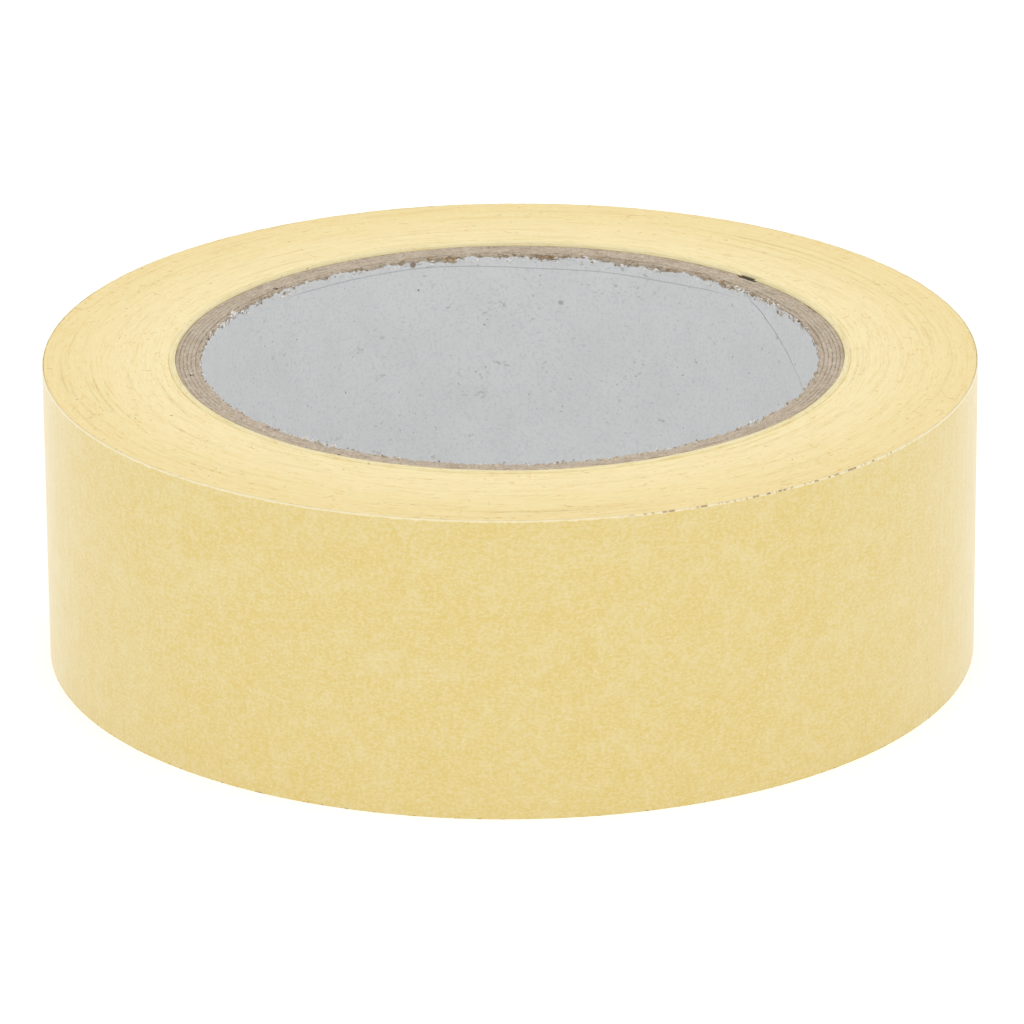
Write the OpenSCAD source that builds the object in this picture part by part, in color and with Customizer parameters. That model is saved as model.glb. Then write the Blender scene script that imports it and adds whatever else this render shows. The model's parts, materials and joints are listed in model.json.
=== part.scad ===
// A roll of masking tape: creped paper tape wound on a spiral paperboard core.
// The roll lies flat. +Z is the axis of the bore, and the origin is on that axis,
// in the plane of the lower end face. All sizes are in millimetres.

/* [Tape] */
// Width of the slit tape, which is the height of the roll as it lies
tape_width = 38; // [12:1:75]
// Thickness of the creped paper backing
backing_t = 0.09; // [0.05:0.005:0.2]
// Thickness of the adhesive on the inner side of the backing
adhesive_t = 0.035; // [0.01:0.005:0.08]
// Number of turns wound on the core
turns = 132; // [20:1:240]
// Number of turns next to the core that were wound out of line
start_turns = 6; // [1:1:12]
// How far those first turns stand up out of the end face
start_shift = 0.25; // [0:0.05:0.6]

/* [Free end] */
// Length of the free end that is not pressed down hard
tail_len = 28; // [12:1:40]
// Number of stiff steps that the free end bends in
tail_steps = 8; // [2:1:12]
// Air gap between the free end and the turn below it
tail_gap = 0.02; // [0:0.01:0.1]
// Where the tape stops, anticlockwise from +X, seen from above
tail_stop_angle = 80; // [0:5:355]

/* [Core] */
// Diameter of the bore
bore_d = 76.5; // [25:0.5:152.5]
// Thickness of the liner paper that faces the bore
liner_t = 0.25; // [0.1:0.05:0.5]
// Thickness of one ply of board
board_t = 0.5; // [0.2:0.05:1]
// Number of board plies glued round the liner
board_plies = 6; // [1:1:12]
// How far each end of the core lies below the end face of the tape
core_recess = 0.1; // [0:0.05:1]
// Rise of a ply's butt seam in one turn round the core
seam_pitch = 132; // [80:1:300]
// Width of the gap in a butt seam
seam_gap = 0.15; // [0.05:0.05:0.5]
// Where the liner's seam meets the upper end, anticlockwise from +X
liner_seam_angle = 39.5; // [0:0.5:359.5]
// Angle from one ply's seam to the seam of the ply round it
seam_stagger = 50; // [10:5:90]

/* [Hidden] */
$fn = 180;
tape_t = backing_t + adhesive_t;
bore_r = bore_d / 2;
board_r = bore_r + liner_t;
core_r = board_r + board_plies * board_t;
core_len = tape_width - 2 * core_recess;
start_r = core_r + start_turns * tape_t;
roll_r = core_r + turns * tape_t;
// The last turn ends one tape thickness above where it began, so the outside is a
// scroll of two half rounds whose centres are half a thickness apart.
scroll_offset = tape_t / 2;
// In the scroll's own frame the tape stops at 180 degrees.
tape_turn = tail_stop_angle - 180;
tail_r = roll_r + tail_gap;
step_angle = tail_len / tail_steps / tail_r * 180 / PI;
tail_root = 180 - tail_steps * step_angle;
// Room that a cutting shape has past the face that it cuts.
cut_room = 1;
// A butt seam is cut as bars that each cover about 20 degrees of the core.
seam_past_angle = 360 * cut_room / seam_pitch;
seam_climb_angle = 360 * core_len / seam_pitch + 2 * seam_past_angle;
seam_bars = ceil(seam_climb_angle / 20);
seam_bar_angle = seam_climb_angle / seam_bars;

// A tube of the core's length that stands where the core stands.
module core_tube(inner_r, outer_r) {
    translate([0, 0, core_recess])
        difference() {
            cylinder(r = outer_r, h = core_len);
            translate([0, 0, -cut_room])
                cylinder(r = inner_r, h = core_len + 2 * cut_room);
        }
}

// The gap of a butt seam: a chain of short flat bars that climbs round the core from end
// to end and reaches the upper end at top_angle.
module seam_cut(inner_r, outer_r, top_angle) {
    slope = atan(seam_pitch / (2 * PI * outer_r));
    bar_in = inner_r * cos(seam_bar_angle / 2) - seam_gap;
    bar_out = outer_r + seam_gap;
    bar_len = (2 * bar_out * tan(seam_bar_angle / 2) + seam_gap) / cos(slope);
    for (i = [0:seam_bars - 1]) {
        angle = top_angle + seam_past_angle - (i + 0.5) * seam_bar_angle;
        z = core_len + (angle - top_angle) / 360 * seam_pitch;
        translate([0, 0, core_recess + z])
            rotate([0, 0, angle])
                rotate([slope, 0, 0])
                    translate([bar_in, -bar_len / 2, -seam_gap / 2])
                        cube([bar_out - bar_in, bar_len, seam_gap]);
    }
}

// One strip of paper or board, wound once round with its edges butted in a helix.
module core_strip(inner_r, thickness, top_angle) {
    difference() {
        core_tube(inner_r, inner_r + thickness);
        seam_cut(inner_r, inner_r + thickness, top_angle);
    }
}

module core_liner() {
    color("#c6c7c8")
        core_strip(bore_r, liner_t, liner_seam_angle);
}

module core_ply(k) {
    color("#b0a08c")
        core_strip(board_r + (k - 1) * board_t, board_t, liner_seam_angle + k * seam_stagger);
}

// One half plane, wide enough for any outline here: side is 1 for +Y and -1 for -Y.
module half_plane(side) {
    reach = 2 * roll_r;
    translate([-reach, side > 0 ? 0 : -reach])
        square([2 * reach, reach]);
}

// The outline of the wound tape out to a radius, with its one-turn step at 180 degrees.
module scroll_outline(r) {
    intersection() {
        circle(r = r);
        half_plane(1);
    }
    translate([scroll_offset, 0])
        intersection() {
            circle(r = r - scroll_offset);
            half_plane(-1);
        }
}

// The pie slice between two angles less than 180 degrees apart.
module slice(from, to) {
    reach = 2 * roll_r;
    middle = (from + to) / 2;
    polygon([
        [0, 0],
        reach * [cos(from), sin(from)],
        1.5 * reach * [cos(middle), sin(middle)],
        reach * [cos(to), sin(to)]
    ]);
}

// Puts an outline drawn in the scroll's frame in place, as wide as the tape.
module wound(shift = 0) {
    translate([0, 0, shift])
        rotate([0, 0, tape_turn])
            linear_extrude(height = tape_width)
                children();
}

module start_turns() {
    color("#e9e2b4")
        wound(start_shift)
            difference() {
                circle(r = start_r);
                circle(r = core_r);
            }
}

module wound_turns() {
    color("#f1e3b6")
        wound()
            difference() {
                scroll_outline(roll_r - tape_t);
                circle(r = start_r);
            }
}

// The last full turn without its free end, from below_outer to below_inner under its outside.
module outer_turn(below_outer, below_inner) {
    wound()
        difference() {
            scroll_outline(roll_r - below_outer);
            scroll_outline(roll_r - below_inner);
            slice(tail_root, 180);
        }
}

module outer_turn_adhesive() {
    color("#dccb92")
        outer_turn(backing_t, tape_t);
}

module outer_turn_backing() {
    color("#e6d594")
        outer_turn(0, backing_t);
}

// Step k of the free end, counted from its root.
module tail_step(k, below_outer, below_inner) {
    from = tail_root + (k - 1) * step_angle;
    wound()
        intersection() {
            difference() {
                circle(r = tail_r - below_outer);
                circle(r = tail_r - below_inner);
            }
            slice(from, from + step_angle);
        }
}

module tail_backing(k) {
    color("#e6d594")
        tail_step(k, 0, backing_t);
}

module tail_adhesive(k) {
    color("#dccb92")
        tail_step(k, backing_t, tape_t);
}

core_liner();
for (k = [1:board_plies])
    core_ply(k);
start_turns();
wound_turns();
outer_turn_adhesive();
outer_turn_backing();
for (k = [1:tail_steps])
    tail_backing(k);
for (k = [1:tail_steps])
    tail_adhesive(k);
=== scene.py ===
import json
import math
import random

import bmesh
import bpy
from mathutils import Matrix, Vector, noise
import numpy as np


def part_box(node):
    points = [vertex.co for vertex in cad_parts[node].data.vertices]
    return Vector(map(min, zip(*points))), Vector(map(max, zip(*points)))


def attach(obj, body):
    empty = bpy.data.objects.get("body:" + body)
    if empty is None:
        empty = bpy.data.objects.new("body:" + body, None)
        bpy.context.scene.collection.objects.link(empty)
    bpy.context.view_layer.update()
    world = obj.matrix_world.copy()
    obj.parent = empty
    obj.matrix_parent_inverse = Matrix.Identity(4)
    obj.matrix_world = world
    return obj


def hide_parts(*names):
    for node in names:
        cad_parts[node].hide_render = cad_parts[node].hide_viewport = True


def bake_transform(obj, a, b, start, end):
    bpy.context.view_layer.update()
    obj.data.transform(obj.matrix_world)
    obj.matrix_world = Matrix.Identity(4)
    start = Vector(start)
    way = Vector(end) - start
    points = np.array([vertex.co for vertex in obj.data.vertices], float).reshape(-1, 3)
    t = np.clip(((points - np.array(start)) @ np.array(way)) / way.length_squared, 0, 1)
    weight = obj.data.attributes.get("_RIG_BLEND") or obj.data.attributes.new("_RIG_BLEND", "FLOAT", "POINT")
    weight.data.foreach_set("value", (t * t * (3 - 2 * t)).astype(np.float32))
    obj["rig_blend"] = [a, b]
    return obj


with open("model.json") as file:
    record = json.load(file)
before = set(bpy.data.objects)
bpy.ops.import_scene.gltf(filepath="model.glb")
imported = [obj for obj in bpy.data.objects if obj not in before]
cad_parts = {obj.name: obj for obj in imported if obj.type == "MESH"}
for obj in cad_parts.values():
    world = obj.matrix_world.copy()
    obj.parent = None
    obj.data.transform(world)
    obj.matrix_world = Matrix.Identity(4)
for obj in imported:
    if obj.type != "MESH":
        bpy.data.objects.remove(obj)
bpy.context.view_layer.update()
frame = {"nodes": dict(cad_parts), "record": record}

mm = 0.001
print("frame loaded")

# sizes that every piece shares, from the frame but for the thin tape
record = frame["record"]
hinges = [Vector(j["pos_m"]) for j in record["behaviour"]["joints"]]
boreRadius = next(m for m in record["mounts"] if m["name"] == "core_bore")["dims"]["r_mm"] * mm


def nodeRadius(node):
    low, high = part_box(node)
    return (high[0] - low[0]) / 2


plyNodes = sorted(n for n in frame["nodes"] if n.startswith("core_ply_"))
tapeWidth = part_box("wound_turns")[1][2]
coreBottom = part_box("core_liner")[0][2]
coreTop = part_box("core_liner")[1][2]
linerRadius = nodeRadius("core_liner")
coreRadius = nodeRadius(plyNodes[-1])
startRadius = nodeRadius("start_turns")
rollRadius = Vector((hinges[0].x, hinges[0].y)).length
tapeThickness = 0.125 * mm  # paper and adhesive together
lastTurn = 2 * math.pi * rollRadius  # length of the outermost turn
stepLength = (hinges[1] - hinges[0]).length
tailLength = len(hinges) * stepLength
stopAngle = math.atan2(hinges[0].y, hinges[0].x) + tailLength / rollRadius


view = {
    "distance": 0.968,  # from the middle of the upper end face
    "elevation": 19.82,
    "lens": 274.3,
    "aim": (0.00014, 0, 0.01689),
    "roll": -0.387,
}


def placeCamera(v):
    cam = bpy.data.cameras.new("camera")
    cam.lens = v["lens"]
    cam.sensor_width = 36
    cam.clip_end = 20
    obj = bpy.data.objects.new("camera", cam)
    bpy.context.collection.objects.link(obj)
    lift = math.radians(v["elevation"])
    place = Vector((0, -math.cos(lift), math.sin(lift))) * v["distance"] + Vector((0, 0, tapeWidth))
    turn = (Vector(v["aim"]) - place).to_track_quat("-Z", "Y").to_matrix().to_4x4()
    obj.matrix_world = Matrix.Translation(place) @ turn @ Matrix.Rotation(math.radians(v["roll"]), 4, "Z")
    bpy.context.scene.camera = obj


light = {
    "sky": 0.94,
    "table": 0.2,  # glow of the floor
    "key": {"energy": 3.0, "size": 1.6, "place": (-0.6, -0.9, 1.3)},
    "fill": {"energy": 1.8, "size": 1.8, "place": (0.9, -0.6, 1.0)},
    "back": {"energy": 1.8, "size": 1.4, "place": (0.1, 1.2, 0.7)},
}


def placeLight(name, v):
    lamp = bpy.data.lights.new(name, "AREA")
    lamp.energy = v["energy"]
    lamp.size = v["size"]
    obj = bpy.data.objects.new(name, lamp)
    bpy.context.collection.objects.link(obj)
    obj.location = v["place"]
    obj.rotation_euler = (-Vector(v["place"])).to_track_quat("-Z", "Y").to_euler()


def hexColour(code):
    parts = [int(code[i : i + 2], 16) / 255 for i in (1, 3, 5)]
    return [c / 12.92 if c <= 0.04045 else ((c + 0.055) / 1.055) ** 2.4 for c in parts] + [1]


placeCamera(view)
placeLight("keyLight", light["key"])
placeLight("fillLight", light["fill"])
placeLight("backLight", light["back"])
world = bpy.data.worlds.new("studio")
bpy.context.scene.world = world
world.use_nodes = True
world.node_tree.nodes["Background"].inputs["Color"].default_value = (1, 1, 1, 1)
world.node_tree.nodes["Background"].inputs["Strength"].default_value = light["sky"]
bpy.context.scene.view_settings.view_transform = "Standard"
print("camera and light placed")


def addNode(tree, kind, settings):
    # a node or a socket is linked in, and anything else is set
    node = tree.nodes.new("ShaderNode" + kind)
    for name, value in settings.items():
        if isinstance(value, bpy.types.Node):
            value = value.outputs[0]
        if isinstance(value, bpy.types.NodeSocket):
            tree.links.new(value, node.inputs[name])
        elif isinstance(name, str) and hasattr(node, name):
            setattr(node, name, value)
        else:
            node.inputs[name].default_value = value
    return node


def newMaterial(name, settings):
    mat = bpy.data.materials.new(name)
    mat.use_nodes = True
    shader = mat.node_tree.nodes["Principled BSDF"]
    for socket, value in settings.items():
        shader.inputs[socket].default_value = value
    return mat, mat.node_tree, shader


grainShift = (3.7, 5.1, 2.3)  # steps from one grain's noise to the next, so that none line up


def addGrains(tree, place, unit, grains):
    # noises with lumps of the given sizes in millimetres, where one step of place is a unit
    made = {}
    for i, (name, (size, detail, rough)) in enumerate(grains.items()):
        settings = {"Scale": [u / (lump * mm) for u, lump in zip(unit, size)], "Vector": place}
        settings["Location"] = [step * i for step in grainShift]
        mapped = addNode(tree, "Mapping", settings)
        settings = {"Scale": 1, "Detail": detail, "Roughness": rough, "Vector": mapped}
        made[name] = addNode(tree, "TexNoise", settings)
    return made


def ringPlace(tree, place):
    # metres out from the roll's axis, and a place with metres out and up, then round a ring of
    # the roll's size
    flat = addNode(tree, "VectorMath", {"operation": "MULTIPLY", 0: place, 1: (1, 1, 0)})
    out = addNode(tree, "VectorMath", {"operation": "LENGTH", 0: flat}).outputs["Value"]
    way = addNode(tree, "VectorMath", {"operation": "NORMALIZE", 0: flat})
    round_ = addNode(tree, "VectorMath", {"operation": "SCALE", 0: way, "Scale": rollRadius})
    turned = addNode(tree, "SeparateXYZ", {0: round_})
    up = addNode(tree, "SeparateXYZ", {0: place}).outputs[2]
    outUp = addNode(tree, "Math", {"operation": "ADD", 0: out, 1: up})
    return out, addNode(tree, "CombineXYZ", {0: outUp, 1: turned.outputs[0], 2: turned.outputs[1]})


def overlap(tree, share, parts):
    # the share where every part holds: each is a pattern and its two limits
    total = share
    for pattern, low, high in parts:
        settings = {"interpolation_type": "SMOOTHSTEP", "From Min": low, "From Max": high, "Value": pattern}
        mask = addNode(tree, "MapRange", settings)
        total = addNode(tree, "Math", {"operation": "MULTIPLY", 0: total, 1: mask})
    return total


def layColours(tree, colour, layers):
    for cover, code in layers:
        mix = addNode(tree, "Mix", {"data_type": "RGBA", 0: cover, 6: colour, 7: hexColour(code)})
        colour = mix.outputs[2]
    return colour


def finishShader(tree, shader, colour, height, depth, strength):
    tree.links.new(colour, shader.inputs["Base Color"])
    bump = addNode(tree, "Bump", {"Strength": strength, "Distance": depth * mm, "Height": height})
    tree.links.new(bump.outputs[0], shader.inputs["Normal"])


def alongTape(degrees):
    # how far along the outermost turn a place is, anticlockwise from +X
    return (math.radians(degrees) - stopAngle) % (2 * math.pi) * rollRadius / lastTurn


# Creped kraft paper, saturated with latex and wrinkled across its length while wet. Dry and
# matt: yellow latex with a dense white fibre mottle, paler where it is seen along the surface.
crepe = {
    "latex": "#d7c17a",
    "deep": "#d4b962",
    "pale": "#e4d9b2",
    "edge": "#efe6c8",
    "dirt": "#8a6a3c",
    "grains": {  # lumps in millimetres along the tape and across it
        "cloud": ((9, 7, 1), 3, 0.6),
        "patch": ((2.4, 2.8, 1), 4, 0.65),
        "mottle": ((0.42, 0.27, 1), 2, 0.6),  # paper fibre is finer, and drawn coarse enough to see
        "crease": ((0.3, 1.9, 1), 3, 0.6),
        "streak": ((2.2, 0.28, 1), 3, 0.6),
        "speck": ((0.3, 0.3, 1), 2, 0.5),
        "rim": ((1.3, 9, 1), 4, 0.7),
        "dust": ((0.8, 2.5, 1), 3, 0.6),
    },
    "rimWide": 0.13,  # millimetres of pale upper slit edge with its painted highlight, and how far it wavers
    "rimWaver": 0.5,
    "dirtFrom": (-80, -70),  # degrees where dust clings to the upper rim
    "dirtTo": (-32, -40),
}


def crepePaper():
    v = crepe
    look = {
        "Roughness": 0.7,
        "IOR": 1.5,
        "Specular IOR Level": 0.45,
        "Sheen Weight": 0.6,
        "Sheen Roughness": 0.4,
    }
    mat, tree, shader = newMaterial("crepedPaper", look)
    uv = addNode(tree, "UVMap", {"uv_map": "tape"})
    g = addGrains(tree, uv, (lastTurn, tapeWidth, 1), v["grains"])
    spot = addNode(tree, "SeparateXYZ", {0: uv})
    wavy = {"operation": "MULTIPLY_ADD", 0: g["rim"], 1: v["rimWaver"] * mm / tapeWidth, 2: spot.outputs[1]}
    rim = addNode(tree, "Math", wavy)
    line = v["rimWide"] * mm / tapeWidth
    dirt = [(spot.outputs[0], *[alongTape(a) for a in v[way]]) for way in ("dirtFrom", "dirtTo")]
    dirt += [(g["dust"], 0.5, 0.58), (spot.outputs[1], 1 - 2 * line, 1 - line)]
    lowerDirt = [(g["dust"], 0.57, 0.64), (spot.outputs[1], 1.6 * line, 0.5 * line)]
    layers = (
        (overlap(tree, 0.4, [(g["cloud"], 0.38, 0.66)]), v["deep"]),
        (overlap(tree, 0.15, [(g["patch"], 0.48, 0.66)]), v["deep"]),
        (overlap(tree, 0.15, [(g["patch"], 0.5, 0.36)]), v["pale"]),
        (overlap(tree, 0.35, [(g["streak"], 0.48, 0.7)]), v["deep"]),
        (overlap(tree, 0.14, [(g["crease"], 0.46, 0.72)]), v["pale"]),
        (overlap(tree, 0.38, [(g["mottle"], 0.34, 0.7)]), v["pale"]),
        (overlap(tree, 0.3, [(g["speck"], 0.62, 0.76)]), v["edge"]),
        # painted highlight: a pale line along the upper slit edge, partly paler cut fibre and partly the
        # light caught where the rim turns to the top
        (overlap(tree, 0.6, [(rim, 1 - 0.5 * line, 1 + line)]), v["edge"]),
        (overlap(tree, 0.8, dirt), v["dirt"]),
        (overlap(tree, 0.7, lowerDirt), v["dirt"]),
    )
    colour = layColours(tree, hexColour(v["latex"]), layers)
    relief = addNode(tree, "Math", {"operation": "ADD", 0: g["mottle"], 1: g["crease"]})
    finishShader(tree, shader, colour, relief, 0.02, 0.5)
    return mat


# Razor-slit edges of the wound turns: paper and amber gum by turns, too fine to tell apart.
# They read as cream with broken rings of painted shade where a turn stands in, and brown gum caught in
# specks.
edges = {
    "paper": "#f2e2ae",
    "outer": "#ecd79a",
    "ring": "#e3c77e",
    "gum": "#d9ab55",
    "speck": "#8d6c3f",
    "grains": {  # lumps in millimetres outwards and round the ring; true turns are 0.125 apart
        "ring": ((0.42, 9, 9), 3, 0.65),
        "fine": ((0.17, 4, 4), 3, 0.6),
        "hairline": ((0.13, 2.2, 2.2), 2, 0.6),
        "mottle": ((0.6, 0.9, 0.9), 4, 0.7),
        "gum": ((0.45, 1.1, 1.1), 2, 0.5),
        "gumArea": ((7, 11, 11), 2, 0.5),
        "speck": ((0.55, 0.8, 0.8), 2, 0.5),
        "speckArea": ((9, 9, 9), 2, 0.5),
    },
}
startEdges = {
    "paper": "#f3e6b8",
    "outer": "#f6ecca",
    "ring": "#e0ca80",
    "gum": "#d6b568",
    "shade": "#3d3122",
}


def slitEdges(name, v):
    look = {"Roughness": 0.62, "IOR": 1.5, "Specular IOR Level": 0.45}
    mat, tree, shader = newMaterial(name, look)
    out, place = ringPlace(tree, addNode(tree, "TexCoord", {}).outputs["Object"])
    g = addGrains(tree, place, (1, 1, 1), v["grains"])
    layers = (
        (overlap(tree, 1.0, [(out, startRadius, rollRadius)]), v["outer"]),
        # painted shade: broken darker rings where a turn stands in below its neighbours
        (overlap(tree, 0.5, [(g["ring"], 0.5, 0.72)]), v["ring"]),
        (overlap(tree, 0.6, [(g["fine"], 0.5, 0.72)]), v["ring"]),
        (overlap(tree, 0.5, [(g["hairline"], 0.56, 0.74)]), v["gum"]),
        (overlap(tree, 0.55, [(g["mottle"], 0.5, 0.72)]), v["paper"]),
        (overlap(tree, 0.55, [(g["gum"], 0.62, 0.72), (g["gumArea"], 0.45, 0.6)]), v["gum"]),
        (overlap(tree, 0.6, [(g["speck"], 0.7, 0.76), (g["speckArea"], 0.46, 0.6)]), v["speck"]),
    )
    if "shade" in v:  # deep in the gap beside the core, where light doesn't reach
        up = addNode(tree, "SeparateXYZ", {0: addNode(tree, "TexCoord", {}).outputs["Object"]}).outputs[2]
        deep = [(up, tapeWidth - 0.16 * mm, tapeWidth - 0.36 * mm), (up, tapeWidth / 3, tapeWidth / 2)]
        layers += ((overlap(tree, 0.95, deep), v["shade"]),)
    colour = layColours(tree, hexColour(v["paper"]), layers)
    relief = addNode(tree, "Math", {"operation": "ADD", 0: g["fine"], 1: g["mottle"]})
    finishShader(tree, shader, colour, relief, 0.05, 0.6)
    return mat


# Natural rubber adhesive, coated hot on the inner side: amber, tacky, with a low wet gloss.
gum = {
    "body": "#d6bc78",
    "thin": "#e3cf97",
    "thick": "#c9a95f",
    "grains": {"crease": ((0.4, 2.8, 1), 4, 0.6), "streak": ((5, 1.1, 1), 3, 0.5)},
}


def rubberGum():
    look = {"Roughness": 0.38, "IOR": 1.52, "Coat Weight": 0.15, "Coat Roughness": 0.3}
    mat, tree, shader = newMaterial("rubberAdhesive", look)
    g = addGrains(tree, addNode(tree, "UVMap", {"uv_map": "tape"}), (lastTurn, tapeWidth, 1), gum["grains"])
    layers = (
        (overlap(tree, 0.9, [(g["crease"], 0.35, 0.7)]), gum["thin"]),
        (overlap(tree, 0.5, [(g["streak"], 0.4, 0.7)]), gum["thick"]),
    )
    colour = layColours(tree, hexColour(gum["body"]), layers)
    finishShader(tree, shader, colour, g["crease"], 0.04, 0.6)
    return mat


# Chipboard from mixed waste paper, wound wet with glue and cut square with a knife: felted
# grey-brown fibre in thin layers, with dark and pale flecks, matt all over.
board = {
    "body": "#c2b4a1",
    "dark": "#a3927d",
    "pale": "#dcd3c4",
    "layer": "#8f7e69",
    "fleck": "#6c5844",
    "grains": {
        "felt": ((0.4, 0.4, 0.4), 4, 0.7),
        "patch": ((3, 3, 3), 3, 0.6),
        "fleck": ((0.42, 0.42, 0.5), 2, 0.5),
    },
    "layers": {"layer": ((0.16, 2.6, 2.6), 2, 0.6), "strand": ((0.3, 1.2, 1.2), 3, 0.6)},
}


def chipboard():
    look = {"Roughness": 0.93, "IOR": 1.45, "Specular IOR Level": 0.2}
    mat, tree, shader = newMaterial("chipboard", look)
    place = addNode(tree, "TexCoord", {}).outputs["Object"]
    g = addGrains(tree, place, (1, 1, 1), board["grains"])
    g.update(addGrains(tree, ringPlace(tree, place)[1], (1, 1, 1), board["layers"]))
    layers = (
        (overlap(tree, 0.8, [(g["felt"], 0.5, 0.36)]), board["dark"]),
        (overlap(tree, 0.4, [(g["patch"], 0.42, 0.7)]), board["dark"]),
        (overlap(tree, 0.3, [(g["layer"], 0.54, 0.7)]), board["layer"]),
        (overlap(tree, 0.7, [(g["strand"], 0.55, 0.74)]), board["pale"]),
        (overlap(tree, 0.9, [(g["felt"], 0.57, 0.72)]), board["pale"]),
        (overlap(tree, 0.9, [(g["fleck"], 0.7, 0.76)]), board["fleck"]),
    )
    colour = layColours(tree, hexColour(board["body"]), layers)
    relief = addNode(tree, "Math", {"operation": "SUBTRACT", 0: g["felt"], 1: g["layer"]})
    finishShader(tree, shader, colour, relief, 0.1, 0.7)
    return mat


# Bleached grey liner paper, calendered and glued: smooth and even, with a fine fibre, faint
# grey-brown stains where glue came through, small shives, and painted shade along a fold under the rim.
liner = {
    "body": "#d7d8d8",
    "cloud": "#d3d4d4",
    "fibre": "#bfc2c6",
    "stain": "#aaa49b",
    "shive": "#6f6a6a",
    "grains": {
        "cloud": ((5, 5, 6), 3, 0.6),
        "fibre": ((0.4, 0.4, 0.36), 2, 0.6),
        "stain": ((1.3, 1.3, 0.9), 4, 0.65),
        "stainArea": ((8, 8, 7), 2, 0.5),
        "shive": ((0.5, 0.5, 0.45), 2, 0.5),
        "wander": ((30, 30, 400), 2, 0.5),
    },
    # painted shade of a fold under the rim: how far below the rim, how far it sways, its width and colour
    "foldShade": {"below": 2.7, "sway": 1.8, "wide": 0.11, "colour": "#94969a"},
    "marks": (  # degrees, millimetres below the rim, radius, colour
        (108.8, 0.8, 0.55, "#7a5d3d"),
        (107.8, 4.35, 0.17, "#2f3338"),
        (94.9, 9.7, 0.14, "#3a3f46"),
        (80, 6.6, 0.42, "#a5a199"),
        (101.5, 0.6, 0.45, "#8a6a45"),
        (84, 3.0, 0.12, "#5a5f66"),
    ),
}


def linerPaper():
    look = {"Roughness": 0.75, "IOR": 1.5, "Specular IOR Level": 0.3}
    mat, tree, shader = newMaterial("linerPaper", look)
    place = addNode(tree, "TexCoord", {}).outputs["Object"]
    g = addGrains(tree, place, (1, 1, 1), liner["grains"])
    spot = addNode(tree, "SeparateXYZ", {0: place})
    foldShade = liner["foldShade"]
    height = coreTop - foldShade["below"] * mm
    sway = {"operation": "MULTIPLY_ADD", 0: g["wander"], 1: foldShade["sway"] * mm, 2: height}
    swayed = addNode(tree, "Math", sway)
    off = addNode(tree, "Math", {"operation": "SUBTRACT", 0: spot.outputs[2], 1: swayed})
    off = addNode(tree, "Math", {"operation": "ABSOLUTE", 0: off})
    atBack = (spot.outputs[1], 0.62 * boreRadius, 0.76 * boreRadius)
    layers = [
        (overlap(tree, 0.8, [(g["cloud"], 0.4, 0.66)]), liner["cloud"]),
        (overlap(tree, 0.55, [(g["fibre"], 0.46, 0.72)]), liner["fibre"]),
        (overlap(tree, 0.7, [(g["stain"], 0.58, 0.72), (g["stainArea"], 0.5, 0.6)]), liner["stain"]),
        (overlap(tree, 0.55, [(g["shive"], 0.7, 0.76)]), liner["shive"]),
        # painted shade: a thin darker grey line along the fold under the rim, at the back of the bore
        (overlap(tree, 0.5, [(off, foldShade["wide"] * mm, 0.03 * mm), atBack]), foldShade["colour"]),
    ]
    for degrees, below, size, code in liner["marks"]:
        at = Vector((math.cos(math.radians(degrees)), math.sin(math.radians(degrees)), 0)) * boreRadius
        at.z = coreTop - below * mm
        away = addNode(tree, "VectorMath", {"operation": "DISTANCE", 0: place, 1: at}).outputs["Value"]
        ragged = {"operation": "MULTIPLY_ADD", 0: g["fibre"], 1: size * 0.9 * mm, 2: away}
        patch = addNode(tree, "Math", ragged)
        layers.append((overlap(tree, 0.8, [(patch, size * 1.5 * mm, size * 0.9 * mm)]), code))
    colour = layColours(tree, hexColour(liner["body"]), layers)
    finishShader(tree, shader, colour, g["fibre"], 0.03, 0.5)
    return mat


# Loose pulp and torn paper: soft fibre with no gloss, uneven in tone.
def tornFibre(name, code, shadow):
    mat, tree, shader = newMaterial(name, {"Roughness": 0.95, "IOR": 1.5, "Specular IOR Level": 0.15})
    place = addNode(tree, "TexCoord", {}).outputs["Object"]
    grains = {"tone": ((0.9, 0.9, 0.9), 3, 0.6), "fluff": ((0.2, 0.2, 0.2), 3, 0.7)}
    g = addGrains(tree, place, (1, 1, 1), grains)
    colour = layColours(tree, hexColour(code), [(overlap(tree, 0.8, [(g["tone"], 0.4, 0.68)]), shadow)])
    finishShader(tree, shader, colour, g["fluff"], 0.04, 0.7)
    return mat


# Matt white paper sweep, lit through from below.
def studioPaper():
    look = {"Roughness": 0.9, "Specular IOR Level": 0.1, "Emission Strength": light["table"]}
    mat, tree, shader = newMaterial("studioPaper", look)
    shader.inputs["Base Color"].default_value = hexColour("#ffffff")
    shader.inputs["Emission Color"].default_value = hexColour("#ffffff")
    return mat


finishes = {
    "crepe": crepePaper(),
    "turns": slitEdges("slitTapeEdges", edges),
    "start": slitEdges("slitStartEdges", {**edges, **startEdges}),
    "gum": rubberGum(),
    "board": chipboard(),
    "liner": linerPaper(),
    "brownFibre": tornFibre("kraftPulp", "#b9a384", "#987f60"),
    "whiteFibre": tornFibre("tornPaper", "#f4f2ee", "#dcd6cc"),
    "hair": tornFibre("kraftHair", "#b8935a", "#8f6e42"),
    "floor": studioPaper(),
}
print("materials made")


crispAngle = math.radians(50)  # edges sharper than this stay crisp
weldReach = 0.0005 * mm
touching = 1e-7  # metres, close enough to count as the same place


def finishMesh(bm, name, mats, smooth=True, crisp=False):
    mesh = bpy.data.meshes.new(name)
    bm.to_mesh(mesh)
    bm.free()
    for m in mats:
        mesh.materials.append(finishes[m])
    if smooth:
        mesh.shade_smooth()
    if crisp:
        mesh.set_sharp_from_angle(angle=crispAngle)
    obj = bpy.data.objects.new(name, mesh)
    bpy.context.collection.objects.link(obj)
    return obj


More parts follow.
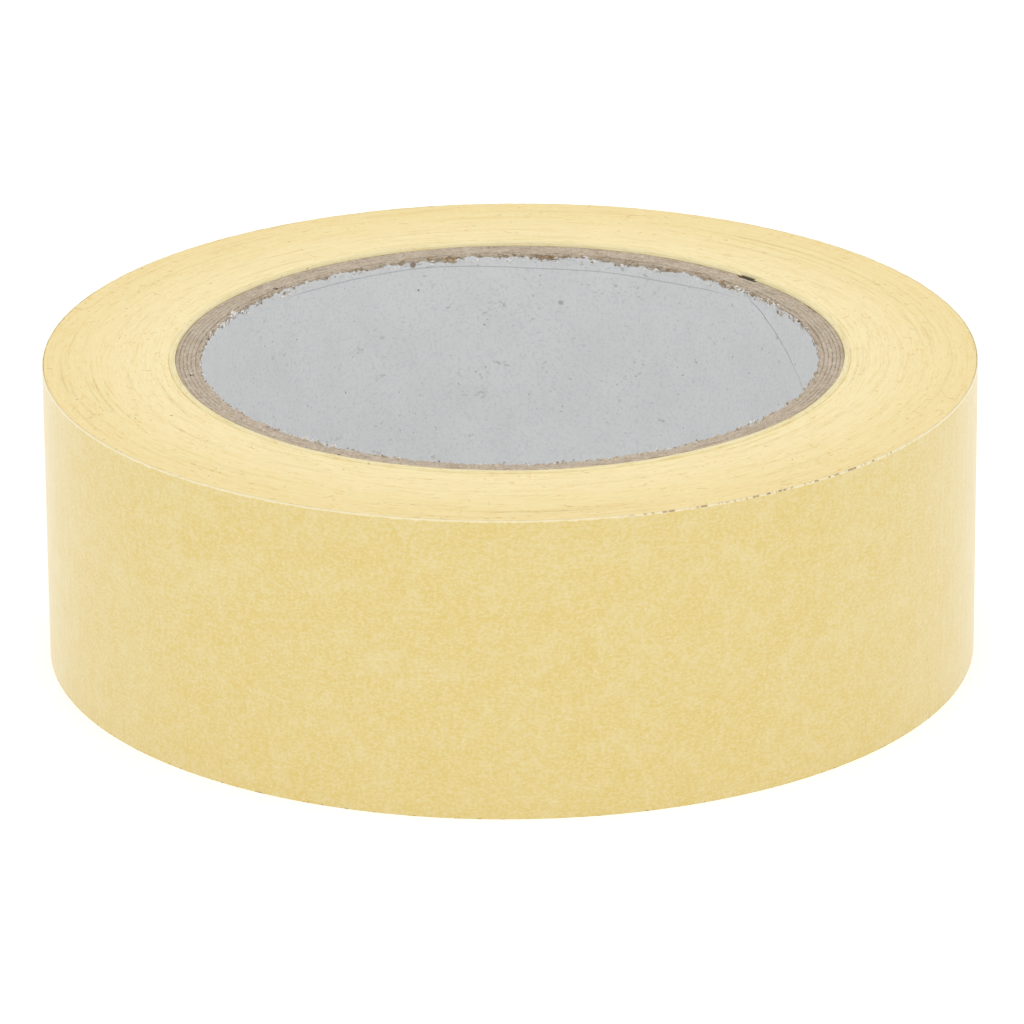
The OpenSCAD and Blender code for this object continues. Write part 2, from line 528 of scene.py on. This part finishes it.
def spinOutline(bm, outline, steps, sweep=2 * math.pi, start=0.0):
    # A closed outline of (radius, height) points turned about the roll's axis. An eighth is
    # spun and then doubled three times, which is far quicker than one long spin.
    turn = Matrix.Rotation(start, 3, "Z")
    verts = [bm.verts.new(turn @ Vector((r, 0, z))) for r, z in outline]
    loop = [bm.edges.new((a, b)) for a, b in zip(verts, verts[1:] + verts[:1])]
    bmesh.ops.spin(
        bm,
        geom=verts + loop,
        cent=(0, 0, 0),
        axis=(0, 0, 1),
        dvec=(0, 0, 0),
        angle=sweep / 8,
        steps=steps // 8,
        use_merge=False,
        use_duplicate=False,
    )
    for share in (8, 4, 2):
        copy = bmesh.ops.duplicate(bm, geom=bm.verts[:] + bm.edges[:] + bm.faces[:])["geom"]
        copied = [g for g in copy if isinstance(g, bmesh.types.BMVert)]
        bmesh.ops.rotate(bm, verts=copied, cent=(0, 0, 0), matrix=Matrix.Rotation(sweep / share, 3, "Z"))
    bmesh.ops.remove_doubles(bm, verts=bm.verts, dist=weldReach)
    if sweep < 2 * math.pi - 1e-6:
        inner = min(r for r, z in outline)
        outer = max(r for r, z in outline)
        for end in (start, start + sweep):  # the two walls are joined before the small rims are filled
            across = Vector((-math.sin(end), math.cos(end), 0))
            atEnd = [e for e in bm.edges if e.is_boundary]
            atEnd = [e for e in atEnd if all(abs(v.co.dot(across)) < touching for v in e.verts)]
            walls = []
            for wall in (inner, outer):
                walls += [
                    e for e in atEnd if all(abs(math.hypot(*v.co.xy) - wall) < touching for v in e.verts)
                ]
            bmesh.ops.bridge_loops(bm, edges=walls)
        bmesh.ops.holes_fill(bm, edges=[e for e in bm.edges if e.is_boundary], sides=0)
    bmesh.ops.recalc_face_normals(bm, faces=bm.faces)


def ringNoise(key, angle, sweep, offset=0.0):
    # noise that runs round a ring without a join
    return noise.noise(Vector((key + offset, math.cos(angle) * sweep, math.sin(angle) * sweep)))


def scrollDrop(angle):
    # how far the spiral lies inside its largest radius at an angle
    along = (angle - stopAngle) % (2 * math.pi)
    return tapeThickness / 2 * (1 + math.cos(along)) if along < math.pi else 0.0


# the wound turns, each one a ridge on both end faces
winding = {
    "steps": 360,
    "sway": 0.05 * mm,  # how unevenly the turns are slit and stacked
    "gap": 0.16 * mm,  # how deep a slack turn lies
    "seed": 3.7,
    "turns": round((rollRadius - tapeThickness - startRadius) / tapeThickness),
}


def windingDepth(turn, angle, side):
    key = turn * 0.61 + side * 40 + winding["seed"]
    sway = abs(ringNoise(key, angle, 1.6)) * 1.3 + abs(ringNoise(turn * 1.7, angle, 3.1, 90 + side)) * 0.8
    slack = max(0.0, ringNoise(turn * 3.3, angle, 2.3, 17 + side * 9) - 0.3) * 2.2
    depth = winding["sway"] * sway + winding["gap"] * slack
    return depth * min(1.0, (winding["turns"] + 1 - turn) / 4)


def makeWinding():
    count = winding["turns"]
    outerWall = rollRadius - tapeThickness * 1.5
    radii = [startRadius + (outerWall - startRadius) * i / count for i in range(count + 1)]
    outline = [(r, 0) for r in radii] + [(r, tapeWidth) for r in reversed(radii)]
    bm = bmesh.new()
    spinOutline(bm, outline, winding["steps"])
    span = outerWall - startRadius
    for v in bm.verts:
        angle = math.atan2(v.co.y, v.co.x)
        r = math.hypot(v.co.x, v.co.y)
        turn = (r - startRadius) / span * count
        side = 1 if v.co.z > tapeWidth / 2 else 0
        depth = windingDepth(round(turn), angle, side)
        v.co.z += -depth if side else depth
        shrink = 1 - scrollDrop(angle) * (r - startRadius) / span / r
        v.co.x *= shrink
        v.co.y *= shrink
    return finishMesh(bm, "woundTurns", ["turns"])


# the first turns on the core, slit out of line with the rest
firstTurns = {
    "turns": 6,
    "steps": 360,
    "gap": 0.01 * mm,  # half of the slit between two turns
    "dip": 0.05 * mm,  # how far a turn's sides lie below its middle
    "wander": 0.16 * mm,
    "sway": 0.12 * mm,
    "notched": 3.2,  # how many turns the notch beside the core cuts
}


def makeStart():
    low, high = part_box("start_turns")
    count = firstTurns["turns"]
    radii = []
    for i in range(count):
        a = coreRadius + (startRadius - coreRadius) * i / count
        b = coreRadius + (startRadius - coreRadius) * (i + 1) / count
        radii += [a + firstTurns["gap"], (a + b) / 2, b - firstTurns["gap"]]
    outline = [(r, low[2]) for r in radii] + [(r, high[2]) for r in reversed(radii)]
    bm = bmesh.new()
    spinOutline(bm, outline, firstTurns["steps"])
    span = startRadius - coreRadius
    for v in bm.verts:
        angle = math.atan2(v.co.y, v.co.x)
        turn = (math.hypot(v.co.x, v.co.y) - coreRadius) / span * count
        side = 1 if v.co.z > tapeWidth / 2 else -1
        dip = 0 if 0.25 < turn % 1 < 0.75 else firstTurns["dip"]
        wander = (0.5 + 0.5 * ringNoise(5.3 + side, angle, 0.9)) * firstTurns["wander"]
        sway = abs(ringNoise(math.floor(turn) * 2.1, angle, 2.4)) * firstTurns["sway"]
        depth = dip + wander + sway
        if side > 0 and turn < firstTurns["notched"]:
            depth += notchDepth(angle)
        v.co.z -= side * depth
    return finishMesh(bm, "startTurns", ["start"])


# the strip of tape, laid flat as a grid and wrapped round the roll
tape = {
    "column": 0.28 * mm,
    "rows": 30,
    "edgeRow": 0.12 * mm,
    "wrinkleDeep": 0.045 * mm,
    "tear": 0.7 * mm,
    "tearReach": 2.5 * mm,
    "fray": 0.05 * mm,  # how uneven the slit edges are
    "behind": 6 * mm,  # how far the outermost turn starts beneath the free end
    "bendReach": 0.6 * mm,  # the sharp bend at the root reaches this far each way
}


def wrinkleDepth(s, z):
    a = noise.noise(Vector((s / mm * 1.05, z / mm * 0.11, 4.2)))
    b = noise.noise(Vector((s / mm * 2.3, z / mm * 0.33, 9.1)))
    return tape["wrinkleDeep"] * min(1.0, max(0.0, 0.5 + 0.55 * a + 0.35 * b))


def tapeStrip(name, fromS, toS, mats, torn=False):
    # fromS and toS count along the tape from where the outermost turn begins
    columns = max(4, round((toS - fromS) / tape["column"]))
    rows = tape["rows"]
    bm = bmesh.new()
    bmesh.ops.create_grid(bm, x_segments=columns, y_segments=rows, size=0.5)
    uvLayer = bm.loops.layers.uv.new("tape")
    along, up = bm.verts.layers.float.new("along"), bm.verts.layers.float.new("up")
    for v in bm.verts:
        column = (v.co.x + 0.5) * columns
        row = round((v.co.y + 0.5) * rows)
        s = fromS + (toS - fromS) * column / columns
        z = tapeWidth * (row - 1) / (rows - 2)
        if row <= 1:
            z = tape["edgeRow"] * row
        elif row >= rows - 1:
            z = tapeWidth - tape["edgeRow"] * (rows - row)
        if torn:
            near = max(0.0, 1 - (toS - s) / tape["tearReach"])
            ragged = 0.5 + 0.5 * noise.noise(Vector((z / mm * 0.5, 3.3, 0)))
            ragged += 0.35 * noise.noise(Vector((z / mm * 3.1, 8.3, 0)))
            s -= tape["tear"] * max(0.0, ragged) * near
        v[along], v[up] = s / lastTurn, z / tapeWidth
        angle = stopAngle + s / rollRadius
        r = rollRadius - wrinkleDepth(s, z)
        if s < 0:
            r -= tapeThickness
        elif s < lastTurn / 2:
            r -= tapeThickness / 2 * (1 + math.cos(s / rollRadius))
        edge = abs(noise.noise(Vector((s / mm * 0.8, z / mm, 6.6)))) * tape["fray"]
        z = min(max(z, edge), tapeWidth - edge)
        v.co = (r * math.cos(angle), r * math.sin(angle), z)
    bmesh.ops.recalc_face_normals(bm, faces=bm.faces)
    if next(iter(bm.faces)).normal.dot(next(iter(bm.faces)).calc_center_median()) < 0:
        bmesh.ops.reverse_faces(bm, faces=bm.faces)
    bmesh.ops.solidify(bm, geom=bm.faces[:], thickness=tapeThickness)
    for face in bm.faces:
        out = (face.calc_center_median() * Vector((1, 1, 0))).normalized()
        face.material_index = 1 if face.normal.dot(out) < -0.5 else 0
        for loop in face.loops:
            loop[uvLayer].uv = (loop.vert[along], loop.vert[up])
    bm.verts.layers.float.remove(bm.verts.layers.float["along"])
    bm.verts.layers.float.remove(bm.verts.layers.float["up"])
    return finishMesh(bm, name, mats, crisp=True)


windingPiece = makeWinding()
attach(windingPiece, "roll")
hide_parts("wound_turns")
print("winding made")

tailStart = lastTurn - tailLength
bendReach = tape["bendReach"]
outer = tapeStrip("outerTurn", -tailLength - tape["behind"], tailStart - bendReach, ["crepe", "gum"])
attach(outer, "roll")
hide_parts("outer_turn_backing", "outer_turn_adhesive")


def onTape(s):
    angle = stopAngle + s / rollRadius
    return (rollRadius * math.cos(angle), rollRadius * math.sin(angle), tapeWidth / 2)


for k in range(1, len(hinges) + 1):
    hingeAt = tailStart + (k - 1) * stepLength
    before = bendReach if k == 1 else stepLength / 2
    after = bendReach if k == 1 else stepLength / 2
    first = hingeAt - before
    last = lastTurn if k == len(hinges) else hingeAt + stepLength / 2
    piece = tapeStrip(f"freeEnd_{k}", first, last, ["crepe", "gum"], torn=k == len(hinges))
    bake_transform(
        piece,
        "roll" if k == 1 else f"tail_{k - 1}",
        f"tail_{k}",
        onTape(hingeAt - before),
        onTape(hingeAt + after),
    )
    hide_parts(f"tail_backing_{k}", f"tail_adhesive_{k}")
print("tape made")


core = {
    "seamGap": 0.15 * mm,
    "seamPitch": 132 * mm,
    "seamTop": 39.5,  # degrees, where the liner's seam meets the upper end
    "stagger": 50,
    "rows": 20,
    "rimRows": (0.5, 1.0, 1.5),  # more rows where the end is worn, millimetres down
    "chamfer": 0.08 * mm,
    "burr": 0.32 * mm,
    "notch": {"at": 43, "half": 2.9, "deep": 0.9 * mm},
}


def coreStrip(name, inner, outer, seamTop, steps, mats, wear):
    wall = outer - inner
    rim = min(core["chamfer"], wall / 4)
    rows = core["rows"]
    tall = coreTop - coreBottom - 2 * rim
    levels = [coreBottom + rim + tall * i / rows for i in range(rows + 1)]
    levels += [coreTop - depth * mm for depth in core["rimRows"]]
    levels.sort()
    across = [inner + rim + (wall - 2 * rim) * i / 4 for i in range(5)]
    outline = [(inner, z) for z in levels] + [(r, coreTop) for r in across]
    outline += [(outer, z) for z in reversed(levels)] + [(r, coreBottom) for r in reversed(across)]
    slope = math.atan(core["seamPitch"] / (2 * math.pi * inner))
    gapAngle = core["seamGap"] / math.sin(slope) / inner
    bm = bmesh.new()
    spinOutline(bm, outline, steps, 2 * math.pi - gapAngle, gapAngle / 2)
    for v in bm.verts:
        angle = math.atan2(v.co.y, v.co.x)
        r = math.hypot(v.co.x, v.co.y)
        z = v.co.z
        twist = math.radians(seamTop) - (coreTop - z) / core["seamPitch"] * 2 * math.pi
        place = angle + twist
        r, z = wear(r, z, place)
        v.co = (r * math.cos(place), r * math.sin(place), z)
    return finishMesh(bm, name, mats, crisp=True)


def notchDepth(angle):
    # a lap came away beside the core
    off = (math.degrees(angle) - core["notch"]["at"] + 180) % 360 - 180
    return core["notch"]["deep"] * max(0.0, 1 - (off / core["notch"]["half"]) ** 2) ** 2


boardEnd = {
    "reach": 1.0 * mm,  # how far the wear goes from the end
    "ragged": 2.2,  # how much rougher the innermost ply is
    "sink": 0.10,
    "coarse": 0.10,
    "fine": 0.12,
    "sway": 0.035,
    "burrWide": 0.3 * mm,
}


def boardWear(ply):
    first, last = ply == 1, ply == len(plyNodes)
    ragged = boardEnd["ragged"] if first else 1.0
    seed = ply * 3.1

    def wear(r, z, angle):
        x, y = math.cos(angle), math.sin(angle)
        top = max(0.0, 1 - (coreTop - z) / boardEnd["reach"])
        bottom = max(0.0, 1 - (z - coreBottom) / boardEnd["reach"])
        near = max(top, bottom)
        coarse = noise.noise(Vector((x * 9, y * 9, seed)))
        fine = noise.noise(Vector((x * 60, y * 60, seed + r / mm * 3)))
        sink = boardEnd["sink"] + boardEnd["coarse"] * coarse + boardEnd["fine"] * abs(fine)
        sink = sink * ragged * mm
        if last and z > tapeWidth / 2:
            sink += notchDepth(angle) * top
        if first:  # the knife left a burr of fibre that leans into the bore
            burr = near * max(0.0, 1 - (r - linerRadius) / boardEnd["burrWide"])
            lump = 0.5 + 0.8 * noise.noise(Vector((x * 70, y * 70, z / mm * 0.6)))
            lump += 0.5 * noise.noise(Vector((x * 190, y * 190, z / mm * 2)))
            r -= burr * max(0.0, lump) * core["burr"]
            sink -= burr * max(0.0, lump) * core["burr"] * 0.7
        z += -sink if z > tapeWidth / 2 else sink
        r += near * boardEnd["sway"] * fine * ragged * mm
        return r, z

    return wear


linerEnd = {
    "reach": 2.2 * mm,  # how far down the sheet is drawn by its torn edge
    "least": 0.06,
    "lower": 0.5,  # share of the tear at the lower end
    "buckle": 0.02 * mm,
}


def linerWear(r, z, angle):
    x, y = math.cos(angle), math.sin(angle)
    sheet = noise.noise(Vector((x * 3, y * 3, z * 90)))
    tear = 0.55 + 0.5 * noise.noise(Vector((x * 6, y * 6, 2.2)))
    tear += 0.4 * noise.noise(Vector((x * 26, y * 26, 5.1)))
    tear += 0.3 * noise.noise(Vector((x * 95, y * 95, 7.7)))
    depth = max(linerEnd["least"], tear) * mm
    room = linerEnd["reach"]
    if coreTop - z < room:
        z -= depth * (1 - (coreTop - z) / room)
    elif z - coreBottom < room:
        z += depth * linerEnd["lower"] * (1 - (z - coreBottom) / room)
    return r + linerEnd["buckle"] * sheet, z


linerInner = boreRadius + linerEnd["buckle"]  # room for the buckled sheet outside the bore
linerPiece = coreStrip("coreLiner", linerInner, linerRadius, core["seamTop"], 1080, ["liner"], linerWear)
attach(linerPiece, "roll")
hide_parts("core_liner")
for k, node in enumerate(plyNodes, 1):
    inner = linerRadius if k == 1 else nodeRadius(plyNodes[k - 2])
    seam = core["seamTop"] + k * core["stagger"]
    steps = 1440 if k == 1 else 720
    ply = coreStrip(f"corePly_{k}", inner, nodeRadius(node), seam, steps, ["board"], boardWear(k))
    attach(ply, "roll")
    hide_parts(node)
startPiece = makeStart()
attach(startPiece, "roll")
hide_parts("start_turns")
print("core made")


# what the knife and the torn liner left: flakes of paper and pulp, and fine hairs
scraps = {
    "flakeThick": 0.05 * mm,
    "white": (  # how many, degrees from and to, size, least and most depth below the rim
        (60, 152, 186, 0.55, 0.2, 0.9),
        (26, 229, 239, 0.5, 0.0, 0.6),
        (230, 14, 152, 0.36, 0.55, 1.15),
        (80, 15, 42, 0.42, 0.3, 0.85),
        (60, 190, 330, 0.25, 0.0, 0.4),
    ),
    "brown": (
        (190, 20, 150, 0.34, 0.15, 0.85),
        (50, -30, 20, 0.3, 0.1, 0.7),
        (18, 100.5, 103, 0.5, 0.5, 1.0),
        (16, 82, 84.5, 0.5, 0.4, 0.9),
        (12, 26, 28.5, 0.5, 0.6, 1.1),
        (90, 160, 330, 0.22, 0.0, 0.35),
    ),
    "rimHairs": 200,
    "rimHairThick": 0.016 * mm,
    "faceHairs": 200,
    "faceHairThick": 0.011 * mm,
}


def makeFlakes(name, finish, seed, arcs):
    rng = random.Random(seed)
    bm = bmesh.new()
    for count, fromDegrees, toDegrees, size, least, most in arcs:
        for _ in range(count):
            angle = math.radians(rng.uniform(fromDegrees, toDegrees))
            r = boreRadius + rng.uniform(-0.08, 0.3) * mm
            z = coreTop - rng.uniform(least, most) * mm
            place = Matrix.Translation((r * math.cos(angle), r * math.sin(angle), z))
            place = place @ Matrix.Rotation(angle, 4, "Z") @ Matrix.Rotation(rng.uniform(0.8, 2.2), 4, "Y")
            place = place @ Matrix.Rotation(rng.uniform(-0.7, 0.7), 4, "Z")
            shape = (size * rng.uniform(0.4, 0.9) * mm, size * rng.uniform(0.6, 1.6) * mm, 1, 1)
            flake = bmesh.ops.create_grid(
                bm, x_segments=3, y_segments=3, size=0.5, matrix=place @ Matrix.Diagonal(shape)
            )["verts"]
            for v in flake:
                v.co += Vector([rng.uniform(-0.14, 0.14) for _ in range(3)]) * size * mm
    obj = finishMesh(bm, name, [finish])
    wall = obj.modifiers.new("thickness", "SOLIDIFY")
    wall.thickness = scraps["flakeThick"]
    wall.offset = 0
    return obj


def makeHairs(name, finish, seed, count, thick, place):
    rng = random.Random(seed)
    curve = bpy.data.curves.new(name, "CURVE")
    curve.dimensions = "3D"
    curve.bevel_depth = thick
    curve.bevel_resolution = 0
    curve.use_fill_caps = True
    for _ in range(count):
        at, way, curl, length = place(rng)
        spline = curve.splines.new("POLY")
        spline.points.add(5)
        for i, point in enumerate(spline.points):
            point.co = (*at, 1)
            point.radius = 1.1 - 0.15 * i
            way = (way + curl * 0.5).normalized()
            at = at + way * length / 5
    source = bpy.data.objects.new(name, curve)
    bpy.context.collection.objects.link(source)
    bpy.context.view_layer.update()
    mesh = bpy.data.meshes.new_from_object(source.evaluated_get(bpy.context.evaluated_depsgraph_get()))
    bpy.data.objects.remove(source)
    mesh.materials.clear()
    mesh.materials.append(finishes[finish])
    obj = bpy.data.objects.new(name, mesh)
    bpy.context.collection.objects.link(obj)
    return obj


def rimHair(rng):
    # on the torn edge of the liner, lying along the rim
    angle = rng.uniform(0, 2 * math.pi)
    r = boreRadius + rng.uniform(-0.02, 0.6) * mm
    z = coreTop - rng.uniform(0.05, 0.9) * mm
    out = Vector((math.cos(angle), math.sin(angle), 0))
    along = Vector((-math.sin(angle), math.cos(angle), 0)) * rng.choice((-1, 1))
    way = (along - out * rng.uniform(0.0, 0.35) + Vector((0, 0, rng.uniform(-0.5, 0.25)))).normalized()
    curl = Vector([rng.uniform(-1, 1) for _ in range(3)]) * 0.6
    return Vector((r * math.cos(angle), r * math.sin(angle), z)), way, curl, rng.uniform(0.2, 0.7) * mm


def faceHair(rng):
    # curled on the upper face of the wound turns, more of them towards the outer rim
    angle = rng.uniform(0, 2 * math.pi)
    r = rollRadius - (rollRadius - startRadius - 1 * mm) * rng.random() ** 1.6 - 0.4 * mm
    heading = rng.uniform(0, 2 * math.pi)
    way = Vector((math.cos(heading), math.sin(heading), 0))
    curl = Vector((-way.y, way.x, 0)) * rng.uniform(-1.1, 1.1)
    at = Vector((r * math.cos(angle), r * math.sin(angle), tapeWidth + rng.uniform(-0.02, 0.02) * mm))
    return at, way, curl, rng.uniform(0.3, 1.5) * mm


rimHairs = (scraps["rimHairs"], scraps["rimHairThick"], rimHair)
faceHairs = (scraps["faceHairs"], scraps["faceHairThick"], faceHair)
for piece, slot in (
    (makeFlakes("tornLinerFlakes", "whiteFibre", 3, scraps["white"]), "liner_paper"),
    (makeFlakes("pulpFlakes", "brownFibre", 5, scraps["brown"]), "core_board"),
    (makeHairs("rimHairs", "brownFibre", 8, *rimHairs), "core_board"),
    (makeHairs("faceHairs", "hair", 13, *faceHairs), "tape_edges"),
):
    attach(piece, "roll")
print("scraps made")

floorHalf = 6  # metres from the middle of the floor to its edges
bm = bmesh.new()
bmesh.ops.create_grid(bm, x_segments=1, y_segments=1, size=floorHalf)
floor = finishMesh(bm, "floor", ["floor"], smooth=False)
